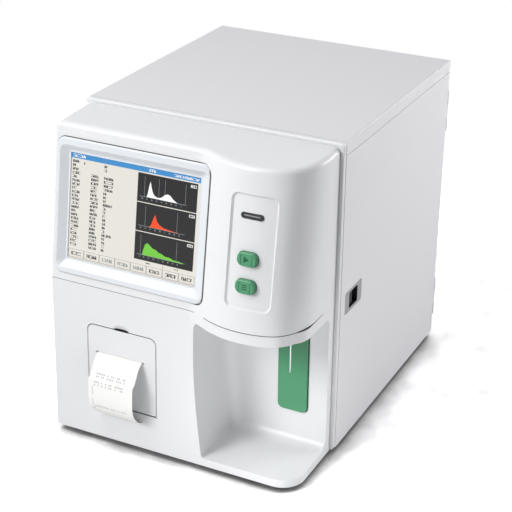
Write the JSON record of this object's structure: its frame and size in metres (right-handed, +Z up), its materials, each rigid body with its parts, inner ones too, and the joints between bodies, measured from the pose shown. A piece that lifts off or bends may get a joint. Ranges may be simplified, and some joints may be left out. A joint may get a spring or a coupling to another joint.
{
  "type": "hematology analyzer",
  "caption": "Bench-top blood cell analyzer with a leaning touch screen, drop-down printer door, open sample bay with a steel probe and start key, and a hinged side door.",
  "frame": {"origin": "on the table under the middle of the outer box, paper and rear fittings included", "axes": "+X to the right seen from the front, +Y to the back, +Z up; the screen faces -Y"},
  "size_m": [0.33, 0.4831, 0.4],
  "materials": {
    "shell": "satin",
    "sheet_white": "powder coat, satin",
    "bezel": "satin",
    "window": "gloss",
    "display": "matt",
    "status": "gloss",
    "green": "satin",
    "board": "satin",
    "dark_plastic": "matt",
    "rubber": "matt",
    "paper": "matt",
    "steel": "brushed",
    "bright_steel": "polished",
    "aluminium": "satin",
    "clear": "clear",
    "barrel_glass": "gloss",
    "grey_plastic": "matt",
    "brass": "satin"
  },
  "bodies": {
    "base": {"base_tray": "sheet_white", "bath_shield": "steel", "control_board": "board", "counting_baths": "clear", "cover_screws": "bright_steel", "data_sockets": "steel", "diaphragm_pumps": "dark_plastic", "diluent_barrel": "barrel_glass", "display_module": "display", "fan_guard": "bright_steel", "fan_housing": "dark_plastic", "feet": "rubber", "fluidics_plate": "steel", "front_frame": "shell", "front_panel": "shell", "ground_post": "brass", "hinge_leaves": "steel", "hinge_pins": "bright_steel", "key_switch": "dark_plastic", "left_panel": "sheet_white", "main_board": "board", "power_inlet": "dark_plastic", "power_supply": "steel", "print_head": "aluminium", "printer_bucket": "dark_plastic", "probe_bracket": "aluminium", "probe_motor": "dark_plastic", "probe_rods": "bright_steel", "reagent_fittings": "grey_plastic", "rear_panel": "sheet_white", "sample_barrel": "barrel_glass", "screen_bezel": "bezel", "solenoid_valves": "grey_plastic", "status_window": "status", "switch_frame": "dark_plastic", "syringe_bracket": "aluminium", "syringe_motors": "dark_plastic", "top_cover": "sheet_white", "touch_glass": "window", "vacuum_chamber": "clear", "wash_block": "clear"},
    "printer_door": {"printer_door": "shell", "paper_slip": "paper"},
    "platen": {"platen_roller": "rubber"},
    "paper_roll": {"paper_roll": "paper"},
    "upper_button": {"upper_button": "green"},
    "lower_button": {"lower_button": "green"},
    "start_key": {"start_key": "green"},
    "side_door": {"right_door": "sheet_white", "latch_cup": "shell"},
    "latch": {"latch_slide": "grey_plastic"},
    "probe": {"probe_carriage": "aluminium", "sample_probe": "bright_steel"},
    "screw": {"probe_screw": "steel"},
    "diluent_plunger": {"diluent_plunger": "grey_plastic"},
    "sample_plunger": {"sample_plunger": "grey_plastic"},
    "fan": {"fan_rotor": "dark_plastic"},
    "rocker": {"power_switch": "dark_plastic"}
  },
  "joints": [
    {"name": "printer_door_hinge", "type": "hinge", "parent": "base", "child": "printer_door", "pos_m": [-0.06675, -0.21651, 0.05729], "axis": [1, 0, 0], "range_deg": [0, 88], "deforming": ["paper_slip"]},
    {"name": "platen_spin", "type": "hinge", "parent": "printer_door", "child": "platen", "pos_m": [-0.069, -0.20535, 0.11368], "axis": [1, 0, 0], "continuous": true},
    {"name": "roll_spin", "type": "hinge", "parent": "base", "child": "paper_roll", "pos_m": [-0.069, -0.17782, 0.07448], "axis": [1, 0, 0], "continuous": true},
    {"name": "upper_button_press", "type": "slide", "parent": "base", "child": "upper_button", "axis": [0, 0.9887, -0.1502], "range_m": [0, 0.0012], "stiffness_N_per_m": 1000, "springref_m": -0.0008},
    {"name": "lower_button_press", "type": "slide", "parent": "base", "child": "lower_button", "axis": [0, 0.9887, -0.1502], "range_m": [0, 0.0012], "stiffness_N_per_m": 1000, "springref_m": -0.0008},
    {"name": "start_key_press", "type": "hinge", "parent": "base", "child": "start_key", "pos_m": [0.1176, -0.1315, 0.205], "axis": [1, 0, 0], "range_deg": [0, 1.2], "stiffness_Nm_per_rad": 5, "springref_deg": -1.15},
    {"name": "side_door_hinge", "type": "hinge", "parent": "base", "child": "side_door", "pos_m": [0.1618, 0.2247, 0.19575], "axis": [0, 0, 1], "range_deg": [0, 100]},
    {"name": "latch_thumb", "type": "slide", "parent": "side_door", "child": "latch", "axis": [0, 1, 0], "range_m": [0, 0.007], "stiffness_N_per_m": 300, "springref_m": -0.003},
    {"name": "probe_lift", "type": "slide", "parent": "base", "child": "probe", "axis": [0, 0, 1], "range_m": [0, 0.06]},
    {"name": "screw_turn", "type": "hinge", "parent": "base", "child": "screw", "pos_m": [0.125, -0.1395, 0.293], "axis": [0, 0, 1], "range_deg": [-5, 2165]},
    {"name": "diluent_stroke", "type": "slide", "parent": "base", "child": "diluent_plunger", "axis": [0, 0, 1], "range_m": [0, 0.03]},
    {"name": "sample_stroke", "type": "slide", "parent": "base", "child": "sample_plunger", "axis": [0, 0, 1], "range_m": [0, 0.03]},
    {"name": "fan_spin", "type": "hinge", "parent": "base", "child": "fan", "pos_m": [-0.072, 0.2075, 0.3], "axis": [0, 1, 0], "continuous": true},
    {"name": "rocker_tilt", "type": "hinge", "parent": "base", "child": "rocker", "pos_m": [-0.078, 0.2165, 0.06], "axis": [1, 0, 0], "range_deg": [-8, 8]}
  ],
  "couplings": [
    {"joint": "screw_turn", "follows": "probe_lift", "rad_per_m": 628.32}
  ]
}
